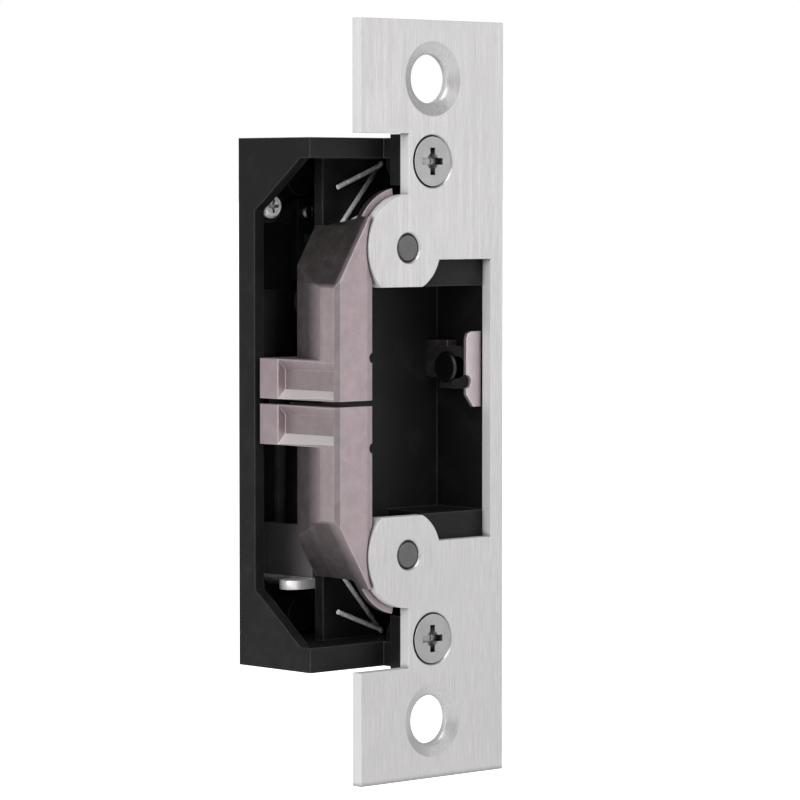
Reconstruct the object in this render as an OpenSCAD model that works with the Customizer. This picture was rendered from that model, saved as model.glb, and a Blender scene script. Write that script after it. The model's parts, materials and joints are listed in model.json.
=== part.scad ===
// Electric door strike with two keepers that swing apart on pivots in the faceplate.
// Frame: origin at the centre of the faceplate's front face, +X to the closed side,
// +Y into the door frame, +Z up. The lower half mirrors the upper half.

/* [Faceplate] */
// Width of the faceplate
plate_w = 31.75; // [31.5:0.05:32.5]
// Height of the faceplate
plate_h = 123.8; // [120:0.1:130]
// Thickness of the faceplate
plate_t = 2; // [1.9:0.05:2.1]
// Distance between the two mounting holes
mount_pitch = 104.8; // [102:0.1:108]
// Diameter of a mounting hole
mount_hole_d = 8; // [6:0.1:9]
// Diameter of a mounting countersink at the front face
mount_sink_d = 12.3; // [11:0.1:13]
// Distance between the two screws that hold the housing
case_screw_pitch = 78; // [77:0.1:78.5]
// Edge of the cut-back left side between the ears and the plate ends
cut_x = -5.4; // [-5.6:0.1:-5]
// Height of the cut-back left side
cut_h = 87; // [86.8:0.1:88]

/* [Latch opening] */
// Height of the opening beside the right rail
opening_h = 46; // [45:0.1:46.4]
// Inner edge of the right rail
rail_x = 13.1; // [12.8:0.1:13.3]
// Height of the opening between the two ears
throat_h = 37.2; // [36.8:0.1:37.3]

/* [Ears and pivots] */
// Sideways place of both pivots
pivot_x = -5.35; // [-5.5:0.05:-5.2]
// Height of each pivot above or below the middle
pivot_z = 24.95; // [24.8:0.05:25.1]
// Outer radius of an ear
ear_r = 8.7; // [8.4:0.1:8.8]
// Radius of the ear towards the latch opening
ear_inner_r = 7.05; // [6.9:0.05:7.1]
// Diameter of a pivot pin
pin_d = 4.6; // [4.2:0.1:4.8]

/* [Keepers] */
// Sideways width of a keeper
keeper_w = 7.9; // [7.6:0.1:8]
// Inner face of a closed keeper
keeper_x = -12.8; // [-12.9:0.1:-12.7]
// Gap between the two closed keepers
keeper_gap = 0.9; // [0.6:0.1:1.2]
// Rear face of a keeper's blade and hub
keeper_back = 9.8; // [9.4:0.1:9.8]
// Outer radius of a keeper's hub
hub_r = 9.8; // [9.5:0.1:9.9]
// Height of a keeper's arm, from the middle
arm_h = 7; // [6.6:0.1:7.4]
// Rear end of a keeper's arm
arm_back = 19.25; // [18.9:0.05:19.25]

/* [Housing] */
// Height of the housing
case_h = 85.6; // [85.2:0.1:86]
// Left face of the housing
case_left = -21.5; // [-21.7:0.1:-21.4]
// Right face of the housing
case_right = 15.5; // [15.4:0.05:15.8]
// Rear face of the whole strike
case_back = 33; // [32.9:0.05:33.1]
// Thickness of the side walls
wall = 2; // [1.9:0.05:2.1]
// Thickness of the top and bottom walls
end_wall = 3.3; // [3:0.1:3.4]
// Extra thickness of the bottom wall
foot_extra = 0.75; // [0.7:0.05:0.8]
// Thickness of the rear cover
cover_t = 1.5; // [1.4:0.05:1.6]
// Front face of the wall behind the latch
pocket_y = 13.3; // [13.25:0.05:13.4]

/* [Lock] */
// Depth of the lever pin behind the front face
lever_y = 18; // [17.9:0.05:18.1]
// Height of the lever pin
lever_z = 16; // [15.8:0.1:16.2]
// Diameter of the lever pin
lever_pin_d = 3; // [2.8:0.1:3.1]

/* [Solenoid] */
// Sideways place of the solenoid's axis
coil_x = -3; // [-3.1:0.05:-2.9]
// Depth of the solenoid's axis
coil_y = 24.2; // [24.1:0.05:24.3]
// Outer radius of the coil
coil_r = 6; // [5.6:0.1:6]
// Lower end of the solenoid frame
coil_z0 = -31.4; // [-31.5:0.1:-31]
// Upper end of the solenoid frame
coil_z1 = 2.2; // [2:0.1:2.4]
// Diameter of the plunger
plunger_d = 5; // [4.8:0.1:5]

/* [Quality] */
// Segments of a full circle in the drawn view
round_fn = 64; // [32:8:96]

/* [Hidden] */
$fn = round_fn;

eps = 0.01;
past = 1;               // how far a cutter runs past a face
fixed_gap = 0.02;       // radial gap of parts that are held still
run_gap = 0.05;         // radial gap of parts that turn
case_z = case_h / 2;
inner_z = case_z - end_wall;
case_low = -case_z - foot_extra;
inner_left = case_left + wall;
inner_right = case_right - wall;
cover_y = case_back - cover_t;
pivot = [pivot_x, pivot_z];
pin_r = pin_d / 2;
hub_front = plate_t + 0.2;
keeper_front = 0.35;
keeper_left = keeper_x - keeper_w;
pocket_back = pocket_y + 2;
pocket_left = -12.2;
strip_y = 19.6;         // front edge of the housing's rear left strip
bevel_y = 23.5;         // where the rear left bevel starts
flange_back = plate_t + 2.4;
hub_space_r = hub_r + 0.4;
bush_r = 3.5;

// ---------- shared shapes ----------

// A block between two corners
module block(low, high) {
  translate(low) cube(high - low);
}

// A flat outline in X and Z, thickened from y0 to y1
module slab(y0, y1) {
  translate([0, y1, 0]) rotate([90, 0, 0]) linear_extrude(y1 - y0) children();
}

// A flat outline in X and Y, thickened from z0 to z1
module tower(z0, z1) {
  translate([0, 0, z0]) linear_extrude(z1 - z0) children();
}

// A flat outline in Y and Z, thickened from x0 to x1
module side_slab(x0, x1) {
  translate([x0, 0, 0]) rotate([90, 0, 90]) linear_extrude(x1 - x0) children();
}

module rod_x(x0, x1, r, y, z) {
  translate([x0, y, z]) rotate([0, 90, 0]) cylinder(h = x1 - x0, r = r);
}

module rod_y(y0, y1, r, x, z) {
  translate([x, y0, z]) rotate([-90, 0, 0]) cylinder(h = y1 - y0, r = r);
}

module rod_z(z0, z1, r, x, y) {
  translate([x, y, z0]) cylinder(h = z1 - z0, r = r);
}

module cone_y(y0, y1, r0, r1, x, z) {
  translate([x, y0, z]) rotate([-90, 0, 0]) cylinder(h = y1 - y0, r1 = r0, r2 = r1);
}

// The upper shape and its mirror image below
module both_halves() {
  children();
  mirror([0, 0, 1]) children();
}

// Cross recess of a screw head that faces -Y: two slots and a tapered middle
module cross_recess(r, depth) {
  half_slot = r * 0.24;
  mouth_r = r * 0.6;
  for (turn = [0, 90])
    rotate([0, turn, 0]) block([-r, -past, -half_slot], [r, depth * 0.85, half_slot]);
  cone_y(-eps, depth, mouth_r, mouth_r / 2, 0, 0);
}

// Flat-head screw along +Y, its head flush with y = 0
module flat_screw(head_r, shank_r, head_h, length) {
  difference() {
    union() {
      cone_y(0, head_h, head_r, shank_r, 0, 0);
      rod_y(head_h - eps, length, shank_r, 0, 0);
    }
    cross_recess(head_r * 0.55, head_h * 0.75);
  }
}

// Pan-head screw along +Y, the head's underside at y = 0
module pan_screw(head_r, shank_r, head_h, length) {
  difference() {
    union() {
      cone_y(-head_h, -head_h / 2, head_r * 0.8, head_r, 0, 0);
      rod_y(-head_h / 2, 0, head_r, 0, 0);
      rod_y(-eps, length, shank_r, 0, 0);
    }
    translate([0, -head_h, 0]) cross_recess(head_r * 0.55, head_h * 0.55);
  }
}

function unit(v) = v / norm(v);

function wire_ring(p, dir, ref, r, sides) =
  let (u = unit(cross(dir, ref)), w = cross(unit(dir), u))
  [for (k = [0:sides - 1]) p + r * (cos(360 * k / sides) * u + sin(360 * k / sides) * w)];

// Round wire along a path that never runs parallel to ref
module wire(path, r, ref, sides = 8) {
  last = len(path) - 1;
  points = [
    for (i = [0:last])
      each wire_ring(path[i], path[min(i + 1, last)] - path[max(i - 1, 0)], ref, r, sides)
  ];
  walls = [
    for (i = [0:last - 1], k = [0:sides - 1])
      let (a = i * sides + k, b = i * sides + (k + 1) % sides)
      each [[a, a + sides, b + sides], [a, b + sides, b]]
  ];
  front_cap = [for (k = [0:sides - 1]) k];
  back_cap = [for (k = [0:sides - 1]) last * sides + sides - 1 - k];
  polyhedron(points, concat([front_cap, back_cap], walls), convexity = 6);
}

// ---------- faceplate ----------

module plate_outline() {
  difference() {
    square([plate_w, plate_h], center = true);
    translate([-plate_w, -cut_h / 2]) square([plate_w + cut_x, cut_h]);
    translate([cut_x - past, -opening_h / 2]) square([rail_x - cut_x + past, opening_h]);
  }
}

// Round ear with a flat edge at the throat and a tighter curve towards the opening
module ear_outline() {
  difference() {
    union() {
      intersection() {
        translate(pivot) circle(r = ear_r);
        translate([pivot_x - ear_r, pivot_z - ear_r]) square([ear_r + eps, 2 * ear_r]);
      }
      intersection() {
        translate(pivot) circle(r = ear_inner_r);
        translate([pivot_x, pivot_z - ear_r]) square([ear_r, 2 * ear_r]);
      }
    }
    translate([pivot_x - plate_w, 0]) square([2 * plate_w, throat_h / 2]);
  }
}

screw_head_r = 4.05;
screw_head_h = 1.8;
screw_shank_r = 2.05;
screw_hole_r = screw_shank_r + fixed_gap;
screw_length = 7;

module faceplate() {
  sink_depth = 1.05;
  ear_bevel = 0.35;
  head_sink_r = screw_head_r + 0.45;
  head_sink_h = screw_head_h + 0.15;
  color("silver")
    difference() {
      slab(0, plate_t) {
        plate_outline();
        ear_outline();
        mirror([0, 1]) ear_outline();
      }
      both_halves() {
        rod_y(-past, plate_t + past, mount_hole_d / 2, 0, mount_pitch / 2);
        cone_y(-eps, sink_depth, mount_sink_d / 2, mount_hole_d / 2, 0, mount_pitch / 2);
        rod_y(-past, plate_t + past, screw_hole_r, 0, case_screw_pitch / 2);
        cone_y(-eps, head_sink_h, head_sink_r, screw_hole_r + 0.05, 0, case_screw_pitch / 2);
        rod_y(-past, plate_t + past, pin_r + fixed_gap, pivot_x, pivot_z);
        cone_y(-eps, ear_bevel, pin_r + ear_bevel, pin_r, pivot_x, pivot_z);
      }
    }
}

module faceplate_screws() {
  color("gainsboro")
    for (side = [-1, 1])
      translate([0, 0.05, side * case_screw_pitch / 2])
        flat_screw(screw_head_r, screw_shank_r, screw_head_h, screw_length);
}

// ---------- housing ----------

// Outline of the housing seen from above
module case_outline(inset) {
  left = case_left + inset;
  right = case_right - inset;
  back = case_back - inset;
  bevel = case_back - bevel_y;
  slope = inset * (sqrt(2) - 1);
  polygon([
    [left, 0], [left, bevel_y + slope], [left + bevel - slope, back],
    [right, back], [right, 0]
  ]);
}

// Opening of the left wall, seen from the left, with its sloping corners
module side_window() {
  slope_front = [8.4, inner_z];
  slope_back = [17.7, 32.3];
  strip_corner = [strip_y, 31];
  half = [[0, 0], [0, inner_z], slope_front, slope_back, strip_corner, [strip_y, 0]];
  polygon(half);
  mirror([0, 1]) polygon(half);
}

// Front flange behind the faceplate's upper half, cut clear of the turning keeper
module flange_outline(flange_top) {
  band_top = opening_h / 2 + 1;
  difference() {
    translate([cut_x, throat_h / 2]) square([case_right - cut_x, flange_top - throat_h / 2]);
    translate(pivot) circle(r = hub_space_r);
  }
  difference() {
    translate([pivot_x + 3, throat_h / 2]) square([case_right - pivot_x - 3, band_top - throat_h / 2]);
    translate(pivot) circle(r = ear_inner_r);
  }
}

screw_post_r = 3.4;
screw_post_back = screw_length + 0.6;
cover_screw_x = [-7.5, 11];
cover_screw_z = 36.3;
cover_screw_r = 1.25;
cover_post_front = 24;
cover_post_r = 2.9;
recess_screw_at = [-17.1, 21, 31.7];
trigger_screw_at = [8.3, 4.9];
trigger_thread_r = 1.25;

module housing() {
  ledge_left = 2.2;
  ledge_t = 1.4;
  screw_end = case_right - 0.6;
  color("dimgray")
    difference() {
      union() {
        // side walls, bevel and end walls
        difference() {
          intersection() {
            tower(case_low, case_z) case_outline(0);
            block([case_left - past, plate_t, case_low], [case_right + past, cover_y, case_z]);
          }
          tower(-inner_z, inner_z) translate([0, -past]) case_outline(wall);
          block([inner_left, cover_y - 4, -inner_z], [inner_right, case_back + past, inner_z]);
          block([case_left - past, 0, case_low - past], [cut_x, 6, case_z + past]);
          side_slab(case_left - past, inner_left + past) side_window();
        }
        rear_bevel_wall();
        slab(plate_t, flange_back) {
          flange_outline(case_z + 0.6);
          mirror([0, 1]) flange_outline(0.5 - case_low);
        }
        both_halves() {
          // ledge above the latch
          block([ledge_left, plate_t, throat_h / 2],
                [case_right - wall / 2, pocket_back, throat_h / 2 + ledge_t]);
          // post for the faceplate screw
          rod_y(plate_t, screw_post_back, screw_post_r, 0, case_screw_pitch / 2);
          // posts for the cover screws
          for (x = cover_screw_x)
            rod_y(cover_post_front, cover_y, cover_post_r, x, cover_screw_z);
        }
        // wall behind the latch, which also carries the pivot pins' rear ends
        block([pocket_left, pocket_y, -inner_z - past],
              [case_right - wall / 2, pocket_back, inner_z + past]);
        lever_lug(pocket_left);
        lever_lug(-0.4);
        recess_post();
      }
      both_halves() {
        rod_y(0, screw_length + past, screw_hole_r, 0, case_screw_pitch / 2);
        rod_y(0, cover_y, pin_r + fixed_gap, pivot_x, pivot_z);
        for (x = cover_screw_x)
          rod_y(cover_post_front + 1, cover_y + past, cover_screw_r + fixed_gap, x, cover_screw_z);
      }
      rod_x(-20, 5, lever_pin_d / 2 + fixed_gap, lever_y, lever_z);
      rod_x(inner_right - past, screw_end, trigger_thread_r + fixed_gap,
            trigger_screw_at[0], trigger_screw_at[1]);
      trigger_slot();
      translate(recess_screw_at) rod_y(-past, 4.5, 1 + fixed_gap, 0, 0);
    }
}

// Sloping wall at the rear left corner
module rear_bevel_wall() {
  intersection() {
    difference() {
      tower(case_low, case_z) case_outline(0);
      tower(case_low - past, case_z + past) case_outline(wall);
    }
    block([case_left - past, bevel_y, case_low], [case_left + 12, cover_y, case_z]);
  }
}

// Lug on the back of the pocket wall that holds one end of the lever pin
module lever_lug(x0) {
  lug_w = 1.6;
  lug_r = 2.4;
  block([x0, pocket_back - past, lever_z - lug_r], [x0 + lug_w, lever_y, lever_z + lug_r]);
  rod_x(x0, x0 + lug_w, lug_r, lever_y, lever_z);
}

// Post inside the upper recess, with a small screw in its end
module recess_post() {
  post_r = 2.7;
  intersection() {
    translate(recess_screw_at) rod_y(0, 10, post_r, 0, 0);
    tower(-case_z, case_z) case_outline(wall / 2);
  }
}

module trigger_slot() {
  block([10.9, pocket_y - past, 3], [inner_right, pocket_back + past, 9.6]);
}

module recess_screw() {
  color("dimgray") translate(recess_screw_at) pan_screw(2, 1, 1.2, 4);
}

// ---------- rear cover ----------

socket_low = [-4.4, 25, -38.2];
socket_high = [7.6, 33, -32.2];
switch_low = [1.5, 22.6, 6.6];
switch_high = [13.3, 28.6, 12.4];
switch_screw_x = [3.6, 8.6];
switch_screw_z = 11.1;
board_low = [-6, 26.5, 19.5];
board_high = [12, 28.1, 33];
board_screw_at = [[-3.8, 30.8], [9.8, 21.7]];
board_screw_r = 0.9;
board_post_r = 2;
switch_screw_r = 0.8;
switch_pad_right = 10;
solenoid_screw_z = [-8, -22];
solenoid_screw_r = 1;
trigger_axis = [12.15, 4.9];
spring_post_front = 27.1;
spring_post_r = 1.3;
head_sink = 0.8;        // depth of the countersinks in the cover

module rear_cover() {
  color("dimgray")
    difference() {
      union() {
        intersection() {
          tower(case_low, case_z) case_outline(0);
          block([case_left, cover_y, case_low], [case_right, case_back, case_z]);
        }
        block([switch_low[0], switch_high[1], switch_low[2]],
              [switch_pad_right, cover_y + eps, switch_high[2]]);
        for (at = board_screw_at)
          rod_y(board_high[1], cover_y + eps, board_post_r, at[0], at[1]);
        rod_y(spring_post_front, cover_y + eps, spring_post_r, trigger_axis[0], trigger_axis[1]);
      }
      both_halves()
        for (x = cover_screw_x) {
          rod_y(cover_y - past, case_back + past, cover_screw_r + 0.1, x, cover_screw_z);
          cone_y(case_back - head_sink, case_back + eps, cover_screw_r + 0.1, 2.5, x, cover_screw_z);
        }
      for (z = solenoid_screw_z) {
        rod_y(cover_y - past, case_back + past, solenoid_screw_r + 0.1, coil_x, z);
        cone_y(case_back - head_sink, case_back + eps, solenoid_screw_r + 0.1, 2.1, coil_x, z);
      }
      for (at = board_screw_at)
        rod_y(board_high[1] - past, cover_y, board_screw_r + fixed_gap, at[0], at[1]);
      for (x = switch_screw_x)
        rod_y(switch_high[1] - past, cover_y, switch_screw_r + fixed_gap, x, switch_screw_z);
      block(socket_low - [fixed_gap, 0, fixed_gap], socket_high + [fixed_gap, past, fixed_gap]);
    }
}

module cover_screws() {
  color("silver")
    both_halves()
      for (x = cover_screw_x)
        translate([x, case_back - 0.02, cover_screw_z]) rotate([0, 0, 180])
          flat_screw(2.4, cover_screw_r, head_sink, 6.5);
}

// ---------- keepers ----------

hub_inner_r = 6.2;
hub_plate_back = 3.3;
boss_r = 5.2;
taper_z = 18.7;
taper_start = [keeper_left, taper_z];
taper_deg = 180 + atan2(pivot_z - taper_z, pivot_x - keeper_left)
          - acos(hub_r / norm(pivot - taper_start));
taper_top = pivot + hub_r * [cos(taper_deg), sin(taper_deg)];
taper_end = taper_start + 0.87 * (taper_top - taper_start);
rib_w = 1.8;
rib_back = 12.4;
crease_y = 4.5;
lean = 2.1;
nose_pocket = [-18.85, -14.15, 14.6, 4.5]; // left, right, front and top of the lock pocket
inner_bevel = [1.4, 0.35];
front_corner = [0.6, 0.8];

// Blade seen from the front; its outer end tapers to a top point and a web runs to the pivot
module blade_outline(top) {
  polygon([
    [keeper_x, keeper_gap / 2], [keeper_left, keeper_gap / 2], taper_start,
    top, [pivot_x, pivot_z + boss_r],
    [pivot_x, pivot_z - boss_r], [keeper_x, throat_h / 2]
  ]);
  translate(pivot) circle(r = boss_r);
}

// Thin plate behind the ear, wide on the open side and narrow towards the latch
module hub_outline() {
  sweep_from = 100;
  far = 2 * hub_r;
  blade_outline(taper_top);
  translate(pivot) circle(r = hub_inner_r);
  polygon([[pivot_x, pivot_z - hub_inner_r], [keeper_x, throat_h / 2], pivot]);
  intersection() {
    translate(pivot) circle(r = hub_r);
    translate(pivot)
      polygon([[0, 0], far * [cos(sweep_from), sin(sweep_from)], [-far, far], [-far, 0]]);
  }
}

// Rib along the left edge that stiffens the back of the blade
module rib_outline() {
  inner_x = keeper_left + lean + rib_w;
  polygon([
    [keeper_left, arm_h - past], taper_start, taper_end,
    [taper_end[0] + rib_w, taper_end[1]], [inner_x, taper_z - past], [inner_x, arm_h - past]
  ]);
}

// Section of the blade seen from above: shallow inner bevel, and a left side that leans back
module blade_section() {
  right = pivot_x + hub_r;
  polygon([
    [keeper_x - inner_bevel[0], keeper_front], [keeper_left + front_corner[0], keeper_front],
    [keeper_left, keeper_front + front_corner[1]], [keeper_left, crease_y],
    [keeper_left + lean, rib_back], [right, rib_back],
    [right, keeper_front + inner_bevel[1]], [keeper_x, keeper_front + inner_bevel[1]]
  ]);
}

module keeper_half() {
  ear_space_r = ear_r + 0.3;
  nick_r = 0.8;
  difference() {
    union() {
      intersection() {
        union() {
          // the front layer stays clear of the ear
          slab(keeper_front, hub_front + eps)
            difference() {
              blade_outline(taper_top);
              translate(pivot) circle(r = ear_space_r);
              translate([keeper_x, 0]) square([case_right, case_z]);
            }
          slab(hub_front, hub_plate_back) hub_outline();
          slab(hub_plate_back - eps, keeper_back) blade_outline(taper_end);
          slab(keeper_back - eps, rib_back) rib_outline();
        }
        tower(0, case_z) blade_section();
      }
      keeper_arm();
      spring_peg();
    }
    rod_y(0, keeper_back + past, bush_r + fixed_gap, pivot_x, pivot_z);
    rod_y(0, hub_front, nick_r, keeper_x, arm_h + 0.3);
    block([nose_pocket[0], nose_pocket[2], 0], [nose_pocket[1], arm_back + past, nose_pocket[3]]);
    arm_pocket();
  }
}

// Arm that reaches back to the lock and widens a little towards its rear end
module keeper_arm() {
  flare = 0.4;
  rear_corner = 0.5;
  rear_left = keeper_left - flare;
  tower(keeper_gap / 2, arm_h)
    polygon([
      [keeper_x - inner_bevel[0], keeper_front], [keeper_left + front_corner[0], keeper_front],
      [keeper_left, keeper_front + front_corner[1]], [keeper_left, crease_y],
      [rear_left, arm_back - rear_corner], [rear_left + rear_corner, arm_back],
      [keeper_x, arm_back], [keeper_x, keeper_front + inner_bevel[1]]
    ]);
}

// Shallow pocket with sloping edges on the left face of the arm
module arm_pocket() {
  depth = 1.3;
  floor_z = [2, 5.2];
  rim_z = [0.75, 6.6];
  out = 2;
  grow = out / depth;
  front = 1.2;
  back = 14.4;
  slab(front, back)
    polygon([
      [keeper_left - out, rim_z[0] - grow * (floor_z[0] - rim_z[0])],
      [keeper_left + depth, floor_z[0]], [keeper_left + depth, floor_z[1]],
      [keeper_left - out, rim_z[1] + grow * (rim_z[1] - floor_z[1])]
    ]);
}

// Peg that the keeper spring's moving leg pushes
peg_r = 0.9;
module spring_peg() {
  rod_y(keeper_back - eps, keeper_back + 1.7, peg_r, peg_at[0], peg_at[1]);
}

module keeper_upper() {
  color("rosybrown") keeper_half();
}

module keeper_lower() {
  color("rosybrown") mirror([0, 0, 1]) keeper_half();
}

bush_flange_r = 4.4;
bush_flange_t = 0.3;

module keeper_bush() {
  difference() {
    union() {
      rod_y(hub_front, keeper_back + eps, bush_r, pivot_x, pivot_z);
      rod_y(keeper_back, keeper_back + bush_flange_t, bush_flange_r, pivot_x, pivot_z);
    }
    rod_y(0, case_back, pin_r + run_gap, pivot_x, pivot_z);
  }
}

module keeper_bush_upper() {
  color("goldenrod") keeper_bush();
}

module keeper_bush_lower() {
  color("goldenrod") mirror([0, 0, 1]) keeper_bush();
}

module pivot_pins() {
  front = 0.15;
  edge = 0.3;
  color("gray")
    both_halves() {
      cone_y(front, front + edge, pin_r - edge, pin_r, pivot_x, pivot_z);
      rod_y(front + edge - eps, pocket_back + 1.2, pin_r, pivot_x, pivot_z);
    }
}

// ---------- keeper springs ----------

spring_wire_r = 0.4;
spring_r = 5;
spring_y0 = 10.55;
spring_y1 = 12.75;
leg_tip = [-16.2, 12.5];
leg_anchor = [0.1, 38.8];
leg_hook = [-10.3, 34.8];

// Angle at which a straight leg to a point touches the coil; side chooses which of the two
function touch_deg(p, side) =
  let (d = p - pivot)
  atan2(d[1], d[0]) + side * acos(spring_r / norm(d));

leg_start_deg = touch_deg(leg_tip, -1) + 360;
leg_end_deg = touch_deg(leg_anchor, 1) - 720 + 360;
leg_touch = pivot + spring_r * [cos(leg_start_deg), sin(leg_start_deg)];
leg_dir = unit(leg_touch - leg_tip);
peg_at = leg_tip + 2.5 * leg_dir
       + (spring_wire_r + peg_r + 0.03) * [leg_dir[1], -leg_dir[0]];

module keeper_spring() {
  steps = 56;
  coil = [
    for (i = [0:steps])
      let (a = leg_start_deg + (leg_end_deg - leg_start_deg) * i / steps)
      [pivot_x + spring_r * cos(a), spring_y0 + (spring_y1 - spring_y0) * i / steps,
       pivot_z + spring_r * sin(a)]
  ];
  bend = unit(leg_hook - leg_anchor);
  path = concat(
    [[leg_tip[0], spring_y0, leg_tip[1]]],
    coil,
    [[leg_anchor[0] - 0.5, spring_y1, leg_anchor[1] - 0.6],
     [leg_anchor[0] - 0.3, spring_y1 - 0.4, leg_anchor[1] + 0.1],
     [leg_anchor[0] + bend[0] * 1.2, spring_y1 - 0.9, leg_anchor[1] + bend[1] * 1.2 + 0.2],
     [leg_hook[0], spring_y1 - 1, leg_hook[1]]]
  );
  wire(path, spring_wire_r, [0, 1, 0]);
}

module keeper_spring_upper() {
  color("lightgray") keeper_spring();
}

module keeper_spring_lower() {
  color("lightgray") mirror([0, 0, 1]) keeper_spring();
}

// ---------- lock lever ----------

lever_hub = [-10.4, -0.6];
tongue = [coil_x - 0.8, coil_x + 0.8];
link_slot = 0.45;
link_pin_r = 1;

module lock_lever() {
  nose_x = [-18.2, -14.8];
  nose_front = arm_back + 0.4;
  nose_z = 3.7;
  plate_y = [21.9, 23.4];
  plate_z = [arm_h + 0.6, 18];
  bar_end = -7.1;
  lever_hub_r = 2.4;
  neck = 1.5;
  hole_r = link_pin_r + 0.12;
  color("slategray")
    difference() {
      union() {
        // finger with the nose at its lower end
        block([nose_x[0], plate_y[0], -nose_z], [nose_x[1], plate_y[1], plate_z[1]]);
        block([nose_x[0], nose_front, -nose_z], [nose_x[1], plate_y[1], nose_z]);
        // plate above the keepers' arms, and the bar towards the plunger
        block([nose_x[0], plate_y[0], plate_z[0]], [pocket_left + 1.3, plate_y[1], plate_z[1]]);
        block([nose_x[0], plate_y[0], lever_z - 3], [bar_end, plate_y[1], plate_z[1]]);
        rod_x(lever_hub[0], lever_hub[1], lever_hub_r, lever_y, lever_z);
        block([lever_hub[0], lever_y, lever_z - neck], [bar_end, plate_y[0] + eps, lever_z + neck]);
        block([tongue[0], lever_y, lever_z - neck], [tongue[1], coil_y + 2, lever_z + neck]);
      }
      rod_x(lever_hub[0] - past, lever_hub[1] + past, lever_pin_d / 2 + run_gap, lever_y, lever_z);
      for (shift = [-link_slot, link_slot])
        rod_x(tongue[0] - past, tongue[1] + past, hole_r, coil_y + shift, lever_z);
      block([tongue[0] - past, coil_y - link_slot, lever_z - hole_r],
            [tongue[1] + past, coil_y + link_slot, lever_z + hole_r]);
    }
}

module lever_pin() {
  color("silver") rod_x(pocket_left, 1.2, lever_pin_d / 2, lever_y, lever_z);
}

// ---------- solenoid ----------

frame_half = 7.4;
frame_t = 1.2;
frame_front = coil_y - 6.2;
frame_back = cover_y - 0.03;
cheek_top = -21;
frame_bend = 1.5;
pole_top = -16;

module solenoid_frame() {
  base_top = coil_z0 + 1.5;
  color("darkgray")
    difference() {
      union() {
        // base with rounded bends into two short cheeks
        block([coil_x - frame_half + frame_bend, frame_front, coil_z0],
              [coil_x + frame_half - frame_bend, frame_back, base_top]);
        for (side = [-1, 1])
          intersection() {
            rod_y(frame_front, frame_back - frame_t, frame_bend,
                  coil_x + side * (frame_half - frame_bend), base_top);
            block([coil_x - frame_half, 0, coil_z0], [coil_x + frame_half, case_back, base_top + eps]);
          }
        for (x = [coil_x - frame_half, coil_x + frame_half - frame_t])
          block([x, frame_front, base_top], [x + frame_t, frame_back - frame_t, cheek_top]);
        // back and top
        block([coil_x - 4, frame_back - frame_t, coil_z0], [coil_x + 4, frame_back, coil_z1]);
        block([coil_x - 6, frame_front, coil_z1 - 1.4], [coil_x + 6, frame_back, coil_z1]);
        frame_foot(base_top);
      }
      rod_z(coil_z1 - 2, coil_z1 + past, plunger_d / 2 + 0.1, coil_x, coil_y);
      rod_z(coil_z0 - past, base_top + past, 1.5 + fixed_gap, coil_x, coil_y);
      for (z = solenoid_screw_z)
        rod_y(frame_back - frame_t - past, frame_back + past, solenoid_screw_r + fixed_gap, coil_x, z);
    }
}

// Foot of the frame that reaches to the left, with a rounded end
module frame_foot(top) {
  foot_left = -15;
  foot_r = 2.2;
  foot_y = frame_front + foot_r;
  rod_z(coil_z0, top, foot_r, foot_left + foot_r, foot_y);
  block([foot_left + foot_r, frame_front, coil_z0], [coil_x - frame_half + 2, foot_y + foot_r, top]);
}

module solenoid_pole() {
  color("gray") {
    rod_z(coil_z0 + 1.5, pole_top, 2.4, coil_x, coil_y);
    rod_z(coil_z0 - 0.4, coil_z0 + 1.5 + eps, 1.5, coil_x, coil_y);
  }
}

bobbin_low = coil_z0 + 1.55;
bobbin_high = coil_z1 - 1.45;
bobbin_flange = 0.9;

module solenoid_bobbin() {
  bore_r = plunger_d / 2 + 0.08;
  color("black")
    difference() {
      union() {
        rod_z(bobbin_low, bobbin_high, 3.4, coil_x, coil_y);
        rod_z(bobbin_low, bobbin_low + bobbin_flange, coil_r, coil_x, coil_y);
        rod_z(bobbin_high - bobbin_flange, bobbin_high, coil_r, coil_x, coil_y);
      }
      rod_z(bobbin_low - past, bobbin_high + past, bore_r, coil_x, coil_y);
    }
}

module solenoid_coil() {
  gap = 0.03;
  color("saddlebrown")
    difference() {
      rod_z(bobbin_low + bobbin_flange + gap, bobbin_high - bobbin_flange - gap,
            coil_r - 0.15, coil_x, coil_y);
      rod_z(bobbin_low, bobbin_high, 3.4 + gap, coil_x, coil_y);
    }
}

module solenoid_screws() {
  color("silver")
    for (z = solenoid_screw_z)
      translate([coil_x, case_back - 0.02, z]) rotate([0, 0, 180])
        flat_screw(2, solenoid_screw_r, head_sink, 2.6);
}

clip_z = 9;
clip_t = 0.8;
plunger_top = 18.5;

module solenoid_plunger() {
  r = plunger_d / 2;
  slot_z = 12;
  color("silver")
    difference() {
      rod_z(pole_top + 1.9, plunger_top, r, coil_x, coil_y);
      // groove for the clip
      difference() {
        rod_z(clip_z, clip_z + clip_t, r + past, coil_x, coil_y);
        rod_z(clip_z - past, clip_z + clip_t + past, r - 0.5, coil_x, coil_y);
      }
      // slot for the lever's tongue
      block([tongue[0] - 0.15, coil_y - 2 * r, slot_z],
            [tongue[1] + 0.15, coil_y + 2 * r, plunger_top + past]);
      rod_x(coil_x - 2 * r, coil_x + 2 * r, link_pin_r + fixed_gap, coil_y, lever_z);
    }
}

module link_pin() {
  half = 2.9;
  color("gray") rod_x(coil_x - half, coil_x + half, link_pin_r, coil_y, lever_z);
}

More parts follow.
